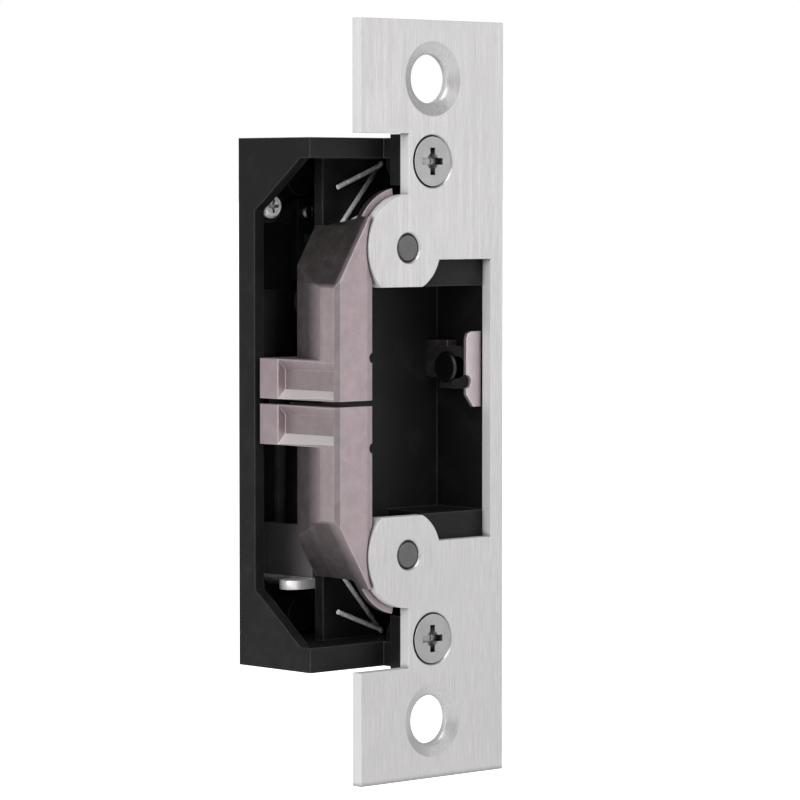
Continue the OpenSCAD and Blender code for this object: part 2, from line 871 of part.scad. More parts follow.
module plunger_clip() {
  inner_r = plunger_d / 2 - 0.5 + fixed_gap;
  outer_r = 3.9;
  mouth = inner_r * 0.9;
  color("dimgray")
    difference() {
      rod_z(clip_z + fixed_gap, clip_z + clip_t - fixed_gap, outer_r, coil_x, coil_y);
      rod_z(clip_z - past, clip_z + clip_t + past, inner_r, coil_x, coil_y);
      block([coil_x - mouth, coil_y - 5, clip_z - past],
            [coil_x + mouth, coil_y, clip_z + clip_t + past]);
    }
}

// Compression spring along Z or Y
function coil_path(centre, along, across, up, r, length, turns, per_turn) = [
  for (i = [0:turns * per_turn])
    let (a = 360 * i / per_turn)
    centre + r * (cos(a) * across + sin(a) * up) + along * length * i / (turns * per_turn)
];

module plunger_spring() {
  wire_r = 0.28;
  start = coil_z1 + wire_r + 0.02;
  stop = clip_z - wire_r;
  coil = 3.15;
  color("lightgray")
    wire(
      coil_path([coil_x, coil_y, start], [0, 0, 1], [1, 0, 0], [0, 1, 0], coil, stop - start, 6, 16),
      wire_r, [0, 0, 1]
    );
}

// ---------- latch monitor ----------

trigger_x = [11.1, 13.2];
trigger_end = 19;

module latch_trigger() {
  tab_x = 9.9;
  front = plate_t + 0.4;
  tab_back = front + 0.7;
  bite_r = 1.1;
  tab_corner = 1.2;
  tab_z = [-1.5, 11];
  web_z = [1.4, 8.4];
  stem_z = [3.2, 9.4];
  travel = 2.4;
  slot_r = 1.85;
  color("rosybrown")
    difference() {
      union() {
        // front tab, rounded at the top and slanting at the bottom
        slab(front, tab_back) {
          polygon([
            [tab_x, tab_z[0] + 2], [tab_x, tab_z[1] - tab_corner],
            [tab_x + 0.35, tab_z[1] - 0.35], [tab_x + tab_corner, tab_z[1]],
            [trigger_x[1], tab_z[1]], [trigger_x[1], tab_z[0]], [tab_x + 1.6, tab_z[0]]
          ]);
        }
        block([trigger_x[0], front, web_z[0]], [trigger_x[1], 10.2, web_z[1]]);
        block([trigger_x[0], trigger_screw_at[0], stem_z[0]], [trigger_x[1], trigger_end, stem_z[1]]);
        rod_y(trigger_end - eps, trigger_end + 2, 0.8, trigger_axis[0], trigger_axis[1]);
      }
      rod_y(0, tab_back + eps, bite_r, tab_x, tab_z[0] + 4.2);
      // slot for the shoulder screw
      for (y = [trigger_screw_at[0] - travel, trigger_screw_at[0]])
        rod_x(tab_x - past, trigger_x[1] + past, slot_r, y, trigger_screw_at[1]);
      block([tab_x - past, trigger_screw_at[0] - travel, trigger_screw_at[1] - slot_r],
            [trigger_x[1] + past, trigger_screw_at[0], trigger_screw_at[1] + slot_r]);
    }
}

module trigger_screw() {
  head_x = [10.4, 11];
  head_r = 2.6;
  head_edge = 0.3;
  color("dimgray") {
    translate([head_x[0], trigger_screw_at[0], trigger_screw_at[1]])
      rotate([0, 90, 0]) cylinder(h = head_edge + eps, r1 = head_r - head_edge, r2 = head_r);
    rod_x(head_x[0] + head_edge, head_x[1], head_r, trigger_screw_at[0], trigger_screw_at[1]);
    rod_x(head_x[1] - eps, inner_right - fixed_gap, 1.75, trigger_screw_at[0], trigger_screw_at[1]);
    rod_x(inner_right - past, case_right - 0.7, trigger_thread_r, trigger_screw_at[0], trigger_screw_at[1]);
  }
}

module trigger_spring() {
  wire_r = 0.17;
  start = trigger_end + wire_r + 0.02;
  stop = spring_post_front - wire_r - 0.02;
  coil = 1.1;
  from = [trigger_axis[0], start, trigger_axis[1]];
  color("lightgray")
    wire(
      coil_path(from, [0, 1, 0], [1, 0, 0], [0, 0, 1], coil, stop - start, 9, 12),
      wire_r, [0, 1, 0], 6
    );
}

module monitor_switch() {
  color("black")
    difference() {
      union() {
        block(switch_low, switch_high);
        // button under the leaf
        block([5.6, switch_low[1] - 0.5, 7.6], [6.8, switch_low[1] + eps, 9]);
      }
      for (x = switch_screw_x)
        rod_y(switch_low[1] - past, switch_high[1] + past, switch_screw_r + fixed_gap, x, switch_screw_z);
    }
}

module switch_leaf() {
  color("silver")
    tower(7.5, 9.2)
      polygon([
        [2.2, switch_low[1] - 0.03], [4, switch_low[1] - 0.03], [12.6, 19.6], [12.9, 19.3],
        [12.5, 19.15], [3.8, switch_low[1] - 0.33], [2.2, switch_low[1] - 0.33]
      ]);
}

module switch_screws() {
  color("silver")
    for (x = switch_screw_x)
      translate([x, switch_low[1] - 0.02, switch_screw_z]) pan_screw(1.2, switch_screw_r, 0.8, 8.4);
}

// ---------- electrics ----------

module circuit_board() {
  color("darkslategray")
    difference() {
      block(board_low, board_high);
      for (at = board_screw_at)
        rod_y(board_low[1] - past, board_high[1] + past, board_screw_r + fixed_gap, at[0], at[1]);
    }
}

module board_screws() {
  color("silver")
    for (at = board_screw_at)
      translate([at[0], board_low[1] - 0.02, at[1]]) pan_screw(1.5, board_screw_r, 0.9, 4.2);
}

// Rectifier, suppressor and terminal block on the front of the board
module board_parts() {
  face = board_low[1] - 0.02;
  color("black") {
    block([-4.6, face - 2.6, 22], [0.4, face, 27]);
    rod_y(face - 2.2, face, 2.4, 3.6, 28.8);
    block([6.6, face - 3, 25.4], [11.2, face, 32.4]);
  }
}

pin_x = [-2.6, 0.2, 3, 5.8];
pin_z = -35.2;
contact_r = 0.4;

module connector_socket() {
  shell = 0.9;
  floor_y = 27;
  color("black")
    difference() {
      block(socket_low, socket_high);
      block([socket_low[0] + shell, floor_y, socket_low[2] + shell],
            [socket_high[0] - shell, socket_high[1] + past, socket_high[2] - shell]);
      for (x = pin_x)
        rod_y(socket_low[1] - past, floor_y + past, contact_r + fixed_gap, x, pin_z);
    }
}

module connector_pins() {
  color("gold")
    for (x = pin_x)
      rod_y(socket_low[1] - 2, socket_high[1] - 1, contact_r, x, pin_z);
}

module lead_wires() {
  wire_r = 0.55;
  run_y = 17.2;
  board_z = 21;
  first_x = 5.3;
  spacing = 1.7;
  color("firebrick")
    for (i = [0:2]) {
      x = first_x + spacing * i;
      wire(
        [[pin_x[i + 1], socket_low[1] - 2.6, pin_z], [pin_x[i + 1], 20.4, pin_z + 0.4],
         [x, run_y + 0.8, pin_z + 3.6], [x, run_y, pin_z + 7], [x, run_y, 0],
         [x, run_y, board_z - 4], [x, run_y + 2, board_z], [x, board_low[1] - 0.6, board_z + 2.5]],
        wire_r, [1, 0, 0]
      );
    }
}

// ---------- parts drawn ----------

faceplate();
housing();
rear_cover();
cover_screws();
faceplate_screws();
keeper_upper();
keeper_lower();
pivot_pins();
keeper_bush_upper();
keeper_bush_lower();
keeper_spring_upper();
keeper_spring_lower();
lock_lever();
lever_pin();
solenoid_frame();
solenoid_pole();
solenoid_bobbin();
solenoid_coil();
solenoid_screws();
solenoid_plunger();
link_pin();
plunger_clip();
plunger_spring();
latch_trigger();
trigger_screw();
trigger_spring();
monitor_switch();
switch_leaf();
switch_screws();
circuit_board();
board_parts();
board_screws();
connector_socket();
connector_pins();
lead_wires();
recess_screw();
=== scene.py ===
"""Looks of the electric door strike: materials, springs, wires, windings, light and camera."""

import json
import math

import bmesh
import bpy
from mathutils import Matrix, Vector


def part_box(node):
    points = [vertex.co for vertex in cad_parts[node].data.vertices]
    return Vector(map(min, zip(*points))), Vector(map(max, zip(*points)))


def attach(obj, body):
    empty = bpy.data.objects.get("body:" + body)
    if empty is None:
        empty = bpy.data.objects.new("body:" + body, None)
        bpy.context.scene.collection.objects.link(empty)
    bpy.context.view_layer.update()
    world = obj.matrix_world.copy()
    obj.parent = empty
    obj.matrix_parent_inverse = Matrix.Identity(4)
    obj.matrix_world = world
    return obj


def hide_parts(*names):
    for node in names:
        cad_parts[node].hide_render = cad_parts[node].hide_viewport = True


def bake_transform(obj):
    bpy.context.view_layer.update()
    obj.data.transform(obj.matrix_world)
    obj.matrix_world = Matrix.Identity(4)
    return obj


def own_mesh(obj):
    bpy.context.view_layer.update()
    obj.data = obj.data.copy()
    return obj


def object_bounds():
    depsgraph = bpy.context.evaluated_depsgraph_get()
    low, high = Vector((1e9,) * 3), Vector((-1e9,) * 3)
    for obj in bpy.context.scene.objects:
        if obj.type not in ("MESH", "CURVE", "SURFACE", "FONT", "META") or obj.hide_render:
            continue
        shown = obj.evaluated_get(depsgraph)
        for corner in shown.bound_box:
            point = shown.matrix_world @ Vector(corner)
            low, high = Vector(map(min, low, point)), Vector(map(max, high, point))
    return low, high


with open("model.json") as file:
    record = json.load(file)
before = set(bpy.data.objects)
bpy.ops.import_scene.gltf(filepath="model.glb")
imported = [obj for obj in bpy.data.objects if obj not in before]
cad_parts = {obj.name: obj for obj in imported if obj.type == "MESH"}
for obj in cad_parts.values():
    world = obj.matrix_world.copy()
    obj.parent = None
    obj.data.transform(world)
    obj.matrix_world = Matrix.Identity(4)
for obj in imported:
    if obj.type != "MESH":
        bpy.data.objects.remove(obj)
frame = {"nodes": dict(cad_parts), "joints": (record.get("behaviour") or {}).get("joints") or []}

CAD_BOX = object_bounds()
MM = 0.001
NODES = frame["nodes"]
JOINTS = {joint["name"]: joint for joint in frame["joints"]}


# places on the keepers and the solenoid foot where painted shade, painted highlights and the darker pocket
# floor begin
KEEPER_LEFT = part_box("keeper_upper")[0].x + 0.4 * MM
POCKET_FLOOR_X = KEEPER_LEFT + 1.3 * MM
KEEPER_ARM_TOP = 7 * MM
TAPER_START = 18.6 * MM
FOOT_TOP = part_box("solenoid_frame")[0].z + 1.7 * MM


# ---------- shader building blocks ----------


class Shader:
    """A node material with short helpers for the nodes that every finish here needs."""

    def __init__(self, name):
        self.material = bpy.data.materials.new(name)
        self.material.use_nodes = True
        self.tree = self.material.node_tree
        self.bsdf = self.tree.nodes["Principled BSDF"]
        self.coords = self.tree.nodes.new("ShaderNodeTexCoord").outputs["Object"]

    def node(self, kind, **settings):
        made = self.tree.nodes.new(kind)
        for key, value in settings.items():
            setattr(made, key, value)
        return made

    def link(self, output, target):
        self.tree.links.new(output, target)

    def value(self, socket, value):
        """Sets a socket to a number or colour, or links it to an output."""
        if isinstance(value, bpy.types.NodeSocket):
            self.link(value, socket)
        elif isinstance(value, (tuple, list)) and socket.type == "RGBA":
            socket.default_value = (*value[:3], 1)
        else:
            socket.default_value = value

    def stretched(self, stretch):
        """Object coordinates scaled by a factor along each axis."""
        mapping = self.node("ShaderNodeMapping")
        self.link(self.coords, mapping.inputs["Vector"])
        mapping.inputs["Scale"].default_value = stretch
        return mapping.outputs["Vector"]

    def noise(self, scale, detail=3.0, rough=0.55, stretch=(1, 1, 1), distortion=0.0):
        noise = self.node("ShaderNodeTexNoise")
        self.link(self.stretched(stretch), noise.inputs["Vector"])
        noise.inputs["Scale"].default_value = scale
        noise.inputs["Detail"].default_value = detail
        noise.inputs["Roughness"].default_value = rough
        noise.inputs["Distortion"].default_value = distortion
        return noise.outputs["Fac"]

    def remap(self, value, low, high, start=0.0, end=1.0):
        """Maps value from low..high to start..end, clamped."""
        remap = self.node("ShaderNodeMapRange")
        self.value(remap.inputs["Value"], value)
        remap.inputs["From Min"].default_value = low
        remap.inputs["From Max"].default_value = high
        remap.inputs["To Min"].default_value = start
        remap.inputs["To Max"].default_value = end
        return remap.outputs["Result"]

    def math(self, operation, a, b):
        made = self.node("ShaderNodeMath", operation=operation)
        self.value(made.inputs[0], a)
        self.value(made.inputs[1], b)
        return made.outputs["Value"]

    def mix(self, factor, a, b):
        """Mixes two colours."""
        mix = self.node("ShaderNodeMix", data_type="RGBA")
        self.value(mix.inputs["Factor"], factor)
        self.value(mix.inputs["A"], a)
        self.value(mix.inputs["B"], b)
        return mix.outputs["Result"]

    def place(self):
        """The object's x, y and z at the shaded point."""
        split = self.node("ShaderNodeSeparateXYZ")
        self.link(self.coords, split.inputs[0])
        return split.outputs["X"], split.outputs["Y"], split.outputs["Z"]

    def facing(self, direction):
        """1 where the surface faces a direction, -1 where it faces away."""
        dot = self.node("ShaderNodeVectorMath", operation="DOT_PRODUCT")
        coordinates = self.node("ShaderNodeTexCoord")
        self.link(coordinates.outputs["Normal"], dot.inputs[0])
        dot.inputs[1].default_value = direction
        return dot.outputs["Value"]

    def recessed(self, distance):
        """1 deep in recesses and narrow gaps, 0 on open surfaces."""
        occlusion = self.node("ShaderNodeAmbientOcclusion", samples=6)
        occlusion.inputs["Distance"].default_value = distance
        return self.remap(occlusion.outputs["AO"], 0.85, 0.35)

    def rounded(self, radius):
        """Normals of the surface with every edge softened to a radius."""
        bevel = self.node("ShaderNodeBevel", samples=6)
        bevel.inputs["Radius"].default_value = radius
        return bevel.outputs["Normal"]

    def edge_mask(self, radius):
        """1 on edges and 0 on open surfaces."""
        dot = self.node("ShaderNodeVectorMath", operation="DOT_PRODUCT")
        geometry = self.node("ShaderNodeNewGeometry")
        self.link(self.rounded(radius), dot.inputs[0])
        self.link(geometry.outputs["Normal"], dot.inputs[1])
        return self.remap(dot.outputs["Value"], 0.995, 0.8)

    def bump(self, height, strength, distance, normal=None):
        bump = self.node("ShaderNodeBump")
        self.link(height, bump.inputs["Height"])
        bump.inputs["Strength"].default_value = strength
        bump.inputs["Distance"].default_value = distance
        if normal is not None:
            self.link(normal, bump.inputs["Normal"])
        return bump.outputs["Normal"]

    def finish(self, **inputs):
        for key, value in inputs.items():
            self.value(self.bsdf.inputs[key.replace("_", " ").title().replace("Ior", "IOR")], value)
        return self.material


def brushed_steel(name, colour, side_colour, stretch, rough=0.3, edge_highlight=0.25, metallic=1.0):
    """Rolled and brushed stainless steel: grain along the axis with the small stretch, duller sides, a
    painted highlight on the edges and painted shade in recesses.
    """
    s = Shader(name)
    fine = s.noise(5200, 4, 0.7, stretch)
    broad = s.noise(900, 3, 0.6, stretch)
    cloud = s.noise(55, 2, 0.5)
    edge = s.edge_mask(0.35 * MM)
    darker = tuple(c * 0.80 for c in colour)
    lighter = tuple(min(1, c * 1.12) for c in colour)
    grain = s.mix(s.remap(fine, 0.3, 0.7), darker, lighter)
    toned = s.mix(s.remap(cloud, 0.25, 0.8, 0, 0.35), grain, darker)
    # painted highlight: the edges are mixed towards white
    bright = s.mix(s.math("MULTIPLY", edge, edge_highlight), toned, (1, 1, 1))
    side = s.remap(s.facing((0, -1, 0)), 0.5, 0.2)
    sheared = s.mix(side, bright, side_colour)
    # painted shade: recesses and narrow gaps are darkened through ambient occlusion
    recess_shade = s.mix(s.recessed(1.2 * MM), sheared, tuple(c * 0.2 for c in colour))
    along_grain = s.remap(broad, 0.3, 0.7, rough - 0.06, rough + 0.10)
    roughness = s.math("ADD", along_grain, s.math("MULTIPLY", side, 0.2))
    shine = s.math("SUBTRACT", metallic, s.math("MULTIPLY", side, 0.6))
    normal = s.bump(fine, 0.22, 0.02 * MM, s.rounded(0.18 * MM))
    return s.finish(base_color=recess_shade, metallic=shine, roughness=roughness, normal=normal)


def cast_steel(name, colour, dark, rear, lit_slopes=None, rough=0.42, pitted=0.4):
    """Investment-cast stainless steel: mottled, with edges lightened by rubbing and a painted highlight.

    rear and the slopes mask are masks of painted light: the metal is painted dark, as shade and dark
    reflections, where rear is 1, and painted bright, as a highlight, where the slopes mask is.
    """
    s = Shader(name)
    grit = s.noise(7000, 3, 0.6)
    mottle = s.noise(420, 4, 0.65, distortion=0.4)
    cloud = s.noise(90, 3, 0.55)
    edge = s.edge_mask(0.4 * MM)
    body = s.mix(s.remap(mottle, 0.32, 0.7), dark, colour)
    shaded = s.mix(s.remap(cloud, 0.35, 0.75, 0, 0.4), body, tuple(c * 0.82 for c in colour))
    # painted shade and painted dark reflections from the rear mask, broken up a little by the mottle
    shade_mask = s.math("MULTIPLY", rear(s), s.remap(mottle, 0.25, 0.75, 1.0, 0.85))
    cast = s.mix(shade_mask, shaded, (0.035, 0.03, 0.03))
    # edges lighter from rubbing and a painted highlight, less so where the metal is painted dark
    rubbing_and_highlight = s.math("MULTIPLY", edge, s.remap(shade_mask, 0, 1, 0.2, 0.08))
    # painted highlight on slopes that face the light from above
    if lit_slopes:
        rubbing_and_highlight = s.math("MAXIMUM", rubbing_and_highlight, lit_slopes(s))
    worn_and_lit = s.mix(rubbing_and_highlight, cast, (0.93, 0.90, 0.90))
    roughness = s.math("SUBTRACT", s.remap(grit, 0.3, 0.7, rough - 0.05, rough + 0.12),
                       s.math("MULTIPLY", edge, 0.12))
    lumps = s.math("ADD", grit, s.math("MULTIPLY", mottle, 1.5))
    normal = s.bump(lumps, pitted, 0.03 * MM, s.rounded(0.3 * MM))
    return s.finish(base_color=worn_and_lit, metallic=0.75, roughness=roughness, normal=normal)


def keeper_painted_shade(s):
    """Where a keeper is painted dark: painted shade and dark reflections on the rear and tapered ends, and a
    darker front left corner and pocket floor.
    """
    x, y, z = s.place()
    height = s.math("ABSOLUTE", z, 0)
    off_arm = s.remap(height, KEEPER_ARM_TOP, KEEPER_ARM_TOP + 0.1 * MM)
    sideways = s.remap(s.facing((0, -1, 0)), 0.9, 0.6)
    # painted shade and a painted dark reflection, deeper towards the back, on the sides above and below the
    # arm
    behind = s.math("MULTIPLY", s.remap(y, 3.6 * MM, 8.5 * MM, 0, 0.95), off_arm)
    # both tapered ends get painted shade and a painted dark reflection, and the upper one, which faces up, is
    # painted darker still
    tapered = s.remap(height, TAPER_START, TAPER_START + 0.8 * MM)
    taper = s.math("MULTIPLY", s.remap(y, 0.6 * MM, 3.2 * MM, 0.2, 0.88), tapered)
    upper_end = s.remap(z, TAPER_START, TAPER_START + 0.8 * MM)
    skyward = s.math("MULTIPLY", s.remap(y, 0.6 * MM, 1.6 * MM), upper_end)
    rear = s.math("MAXIMUM", s.math("MAXIMUM", behind, taper), skyward)
    dark = s.math("MULTIPLY", rear, sideways)
    # the front left corner and the floor of the pocket are darkened as well
    front_left = s.remap(s.facing((-0.8, -0.6, 0)), 0.94, 0.98, 0, 0.65)
    corner = s.math("MULTIPLY", front_left, s.remap(y, 1.6 * MM, 1.4 * MM))
    from_floor = s.math("ABSOLUTE", s.math("ADD", x, -POCKET_FLOOR_X), 0)
    on_floor = s.remap(from_floor, 0.3 * MM, 0.2 * MM, 0, 0.2)
    floor = s.math("MULTIPLY", on_floor, s.remap(s.facing((-1, 0, 0)), 0.9, 0.97))
    return s.math("MAXIMUM", s.math("MAXIMUM", dark, corner), floor)


def keeper_slopes(s):
    """Slopes of the arm's pocket that face up, painted bright: a painted highlight where light from above
    falls.
    """
    _, _, z = s.place()
    height = s.math("ABSOLUTE", z, 0)
    upward = s.remap(s.facing((-0.72, 0, 0.69)), 0.90, 0.96, 0, 0.85)
    return s.math("MULTIPLY", upward, s.remap(height, KEEPER_ARM_TOP + 0.1 * MM, KEEPER_ARM_TOP))


def trigger_painted_shade(s):
    """Painted shade on the latch trigger behind its polished front tab."""
    _, y, _ = s.place()
    tab_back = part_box("latch_trigger")[0].y + 0.6 * MM
    return s.remap(y, tab_back, tab_back + 0.3 * MM, 0, 0.97)


def black_coat(name, colour=(0.0075, 0.0076, 0.0075), rough=0.45):
    """Semi-gloss black coating on a casting, with orange peel, dust, and edges lightened by rubbing and a
    painted highlight.
    """
    s = Shader(name)
    peel = s.noise(1500, 2, 0.5)
    grit = s.noise(6000, 3, 0.6)
    dust = s.noise(130, 5, 0.7)
    edge = s.edge_mask(0.35 * MM)
    dusty = s.mix(s.remap(dust, 0.5, 0.85, 0, 0.12), colour, (0.12, 0.117, 0.114))
    # edges lighter from rubbing and a painted highlight
    lit_and_rubbed_edges = s.mix(s.math("MULTIPLY", edge, s.remap(grit, 0.35, 0.65, 0.1, 0.5)), dusty, (0.15, 0.15, 0.147))
    roughness = s.remap(dust, 0.3, 0.8, rough - 0.06, rough + 0.12)
    lumps = s.math("ADD", peel, s.math("MULTIPLY", grit, 0.35))
    normal = s.bump(lumps, 0.28, 0.03 * MM, s.rounded(0.3 * MM))
    return s.finish(base_color=lit_and_rubbed_edges, roughness=roughness, specular_ior_level=0.15, normal=normal)


def plated(name, colour, rough=0.25, metallic=1.0, grain=3200, highlight_below=None):
    """Plated or ground metal: faint streaks, darker blotches, a painted highlight on the edges and below a
    height, and painted shade in recesses.
    """
    s = Shader(name)
    streak = s.noise(grain, 3, 0.6, (1, 0.25, 1))
    blotch = s.noise(260, 4, 0.6)
    edge = s.edge_mask(0.2 * MM)
    tone = s.mix(s.remap(blotch, 0.35, 0.75, 0, 0.5), colour, tuple(c * 0.62 for c in colour))
    # painted highlight: the edges are mixed towards a lighter colour
    bright = s.mix(s.math("MULTIPLY", edge, 0.4), tone, tuple(min(1, c * 1.5 + 0.08) for c in colour))
    if highlight_below is not None:
        _, _, z = s.place()
        # painted highlight: below the given height the metal is mixed towards near-white
        bright = s.mix(s.remap(z, highlight_below + 0.1 * MM, highlight_below), bright, (0.95, 0.93, 0.92))
    # painted shade: recesses and narrow gaps are darkened through ambient occlusion
    recess_shade = s.mix(s.recessed(1.0 * MM), bright, tuple(c * 0.08 for c in colour))
    roughness = s.remap(streak, 0.3, 0.7, rough - 0.05, rough + 0.12)
    normal = s.bump(streak, 0.15, 0.015 * MM, s.rounded(0.1 * MM))
    return s.finish(base_color=recess_shade, metallic=metallic, roughness=roughness, normal=normal)


def drawn_wire(name, colour, rough=0.22):
    """Drawn spring wire: bright, with faint die marks."""
    s = Shader(name)
    marks = s.noise(2600, 2, 0.5, (0.3, 1, 0.3))
    stain = s.noise(300, 3, 0.6)
    tone = s.mix(s.remap(stain, 0.4, 0.75, 0, 0.35), colour, tuple(c * 0.6 for c in colour))
    roughness = s.remap(marks, 0.3, 0.7, rough - 0.04, rough + 0.1)
    normal = s.bump(marks, 0.06, 0.01 * MM)
    return s.finish(base_color=tone, metallic=0.35, roughness=roughness, normal=normal)


def moulded(name, colour, rough=0.45, sheen=0.0):
    """Moulded plastic with a fine spark-eroded grain and slight colour drift."""
    s = Shader(name)
    grain = s.noise(4200, 2, 0.5)
    drift = s.noise(150, 3, 0.5)
    edge = s.edge_mask(0.2 * MM)
    tone = s.mix(s.remap(drift, 0.35, 0.7), tuple(c * 0.8 for c in colour), tuple(c * 1.2 for c in colour))
    lit_and_rubbed_edges = s.mix(s.math("MULTIPLY", edge, 0.25), tone, tuple(min(1, c * 2 + 0.04) for c in colour))
    roughness = s.remap(grain, 0.3, 0.7, rough - 0.07, rough + 0.1)
    normal = s.bump(grain, 0.2, 0.02 * MM, s.rounded(0.12 * MM))
    return s.finish(base_color=lit_and_rubbed_edges, roughness=roughness, sheen_weight=sheen, normal=normal)


# ---------- mesh building blocks ----------


def new_object(name, mesh_or_curve):
    made = bpy.data.objects.new(name, mesh_or_curve)
    bpy.context.scene.collection.objects.link(made)
    return made


def tube(name, path, radius, material, sides=14):
    """A smooth round wire along a list of points, with domed ends."""
    curve = bpy.data.curves.new(name, "CURVE")
    curve.dimensions = "3D"
    curve.bevel_depth = radius
    curve.bevel_resolution = max(1, (sides - 4) // 2)
    curve.use_fill_caps = True
    spline = curve.splines.new("POLY")
    spline.points.add(len(path) - 1)
    for point, place in zip(spline.points, path):
        point.co = (*place, 1)
    source = new_object(name + "_curve", curve)
    bpy.context.view_layer.update()
    mesh = bpy.data.meshes.new_from_object(source.evaluated_get(bpy.context.evaluated_depsgraph_get()))
    bpy.data.objects.remove(source)
    for face in mesh.polygons:
        face.use_smooth = True
    mesh.materials.clear()
    mesh.materials.append(material)
    return new_object(name, mesh)


def smooth_path(corners, per_span=8):
    """Catmull-Rom curve through the corners, with straight continuations at both ends."""
    points = [Vector(c) for c in corners]
    points = [2 * points[0] - points[1], *points, 2 * points[-1] - points[-2]]
    path = []
    for a, b, c, d in zip(points, points[1:], points[2:], points[3:]):
        for i in range(per_span):
            t = i / per_span
            path.append(0.5 * (2 * b + (c - a) * t + (2 * a - 5 * b + 4 * c - d) * t * t
                               + (3 * b - a - 3 * c + d) * t ** 3))
    path.append(points[-2])
    return path


def helix(centre, along, across, radius, length, turns, closed=0.8, per_turn=36):
    """A compression spring's path along an axis: its end turns lie closer together."""
    up = along.cross(across)
    path = []
    count = int(turns * per_turn)
    for i in range(count + 1):
        share = i / count
        eased = share - closed / turns / (2 * math.pi) * math.sin(2 * math.pi * share)
        angle = 2 * math.pi * i / per_turn
        path.append(centre + along * length * eased
                    + radius * (math.cos(angle) * across + math.sin(angle) * up))
    return path


def finish_cad(name, material, bevel=0.0):
    """Gives a CAD node its material and, where asked, small real edge bevels."""
    node = NODES[name]
    node.data.materials.clear()
    node.data.materials.append(material)
    if bevel:
        weld = node.modifiers.new("weld", "WELD")
        weld.merge_threshold = 0.002 * MM
        edge = node.modifiers.new("edge", "BEVEL")
        edge.width = bevel
        edge.segments = 2
        edge.limit_method = "ANGLE"
        edge.angle_limit = math.radians(40)
        edge.harden_normals = True


# ---------- finishes ----------

FACEPLATE_STEEL = brushed_steel("faceplate_steel", (0.54, 0.53, 0.532), (0.62, 0.62, 0.62), (1, 1, 0.035),
                                metallic=0.8)
KEEPER_STEEL = cast_steel("keeper_steel", (0.385, 0.32, 0.335), (0.31, 0.255, 0.27),
                          keeper_painted_shade, keeper_slopes)
TRIGGER_STEEL = cast_steel("trigger_steel", (0.58, 0.51, 0.53), (0.50, 0.43, 0.45), trigger_painted_shade)
COAT = black_coat("black_coat")
COVER_COAT = black_coat("cover_coat", (0.022, 0.022, 0.023), 0.42)
SCREW_STEEL = plated("screw_steel", (0.36, 0.36, 0.36), 0.3)
PIN_STEEL = plated("pin_steel", (0.15, 0.148, 0.15), 0.42)
DARK_STEEL = plated("dark_steel", (0.05, 0.05, 0.052), 0.38)
# painted highlight along the foot of the solenoid frame
STRIP_STEEL = plated("strip_steel", (0.20, 0.19, 0.19), 0.36, metallic=0.4, grain=1800, highlight_below=FOOT_TOP)
RECESS_STEEL = plated("recess_steel", (0.9, 0.9, 0.9), 0.25, metallic=0.3)
PLUNGER_STEEL = plated("plunger_steel", (0.55, 0.55, 0.56), 0.18)
SPRING_STEEL = drawn_wire("spring_steel", (0.80, 0.80, 0.82))
BRONZE = plated("bronze", (0.45, 0.27, 0.10), 0.35)
BRASS = plated("brass", (0.75, 0.52, 0.20), 0.25)
TAPE = moulded("coil_tape", (0.012, 0.012, 0.013), 0.5)
BLACK_PLASTIC = moulded("black_plastic", (0.02, 0.02, 0.021), 0.45)
BOARD_BLACK = moulded("board_black", (0.010, 0.013, 0.012), 0.35)
INSULATION = moulded("insulation", (0.16, 0.012, 0.012), 0.4)

CAD_FINISHES = {
    "faceplate": (FACEPLATE_STEEL, 0.12 * MM),
    "housing": (COAT, 0.2 * MM),
    "rear_cover": (COVER_COAT, 0.2 * MM),
    "keeper_upper": (KEEPER_STEEL, 0),
    "keeper_lower": (KEEPER_STEEL, 0),
    "latch_trigger": (TRIGGER_STEEL, 0.1 * MM),
    "faceplate_screws": (SCREW_STEEL, 0),
    "cover_screws": (SCREW_STEEL, 0),
    "solenoid_screws": (SCREW_STEEL, 0),
    "switch_screws": (SCREW_STEEL, 0),
    "board_screws": (SCREW_STEEL, 0),
    "recess_screw": (RECESS_STEEL, 0),
    "lever_pin": (PIN_STEEL, 0),
    "pivot_pins": (PIN_STEEL, 0),
    "link_pin": (PIN_STEEL, 0),
    "plunger_clip": (DARK_STEEL, 0),
    "trigger_screw": (DARK_STEEL, 0),
    "lock_lever": (DARK_STEEL, 0.15 * MM),
    "solenoid_frame": (STRIP_STEEL, 0.12 * MM),
    "solenoid_pole": (STRIP_STEEL, 0),
    "solenoid_plunger": (PLUNGER_STEEL, 0.1 * MM),
    "solenoid_bobbin": (BLACK_PLASTIC, 0),
    "keeper_bush_upper": (BRONZE, 0),
    "keeper_bush_lower": (BRONZE, 0),
    "monitor_switch": (BLACK_PLASTIC, 0.15 * MM),
    "connector_socket": (BLACK_PLASTIC, 0.12 * MM),
    "connector_pins": (BRASS, 0),
    "circuit_board": (BOARD_BLACK, 0),
    "board_parts": (BLACK_PLASTIC, 0.2 * MM),
}


# ---------- pieces made here ----------


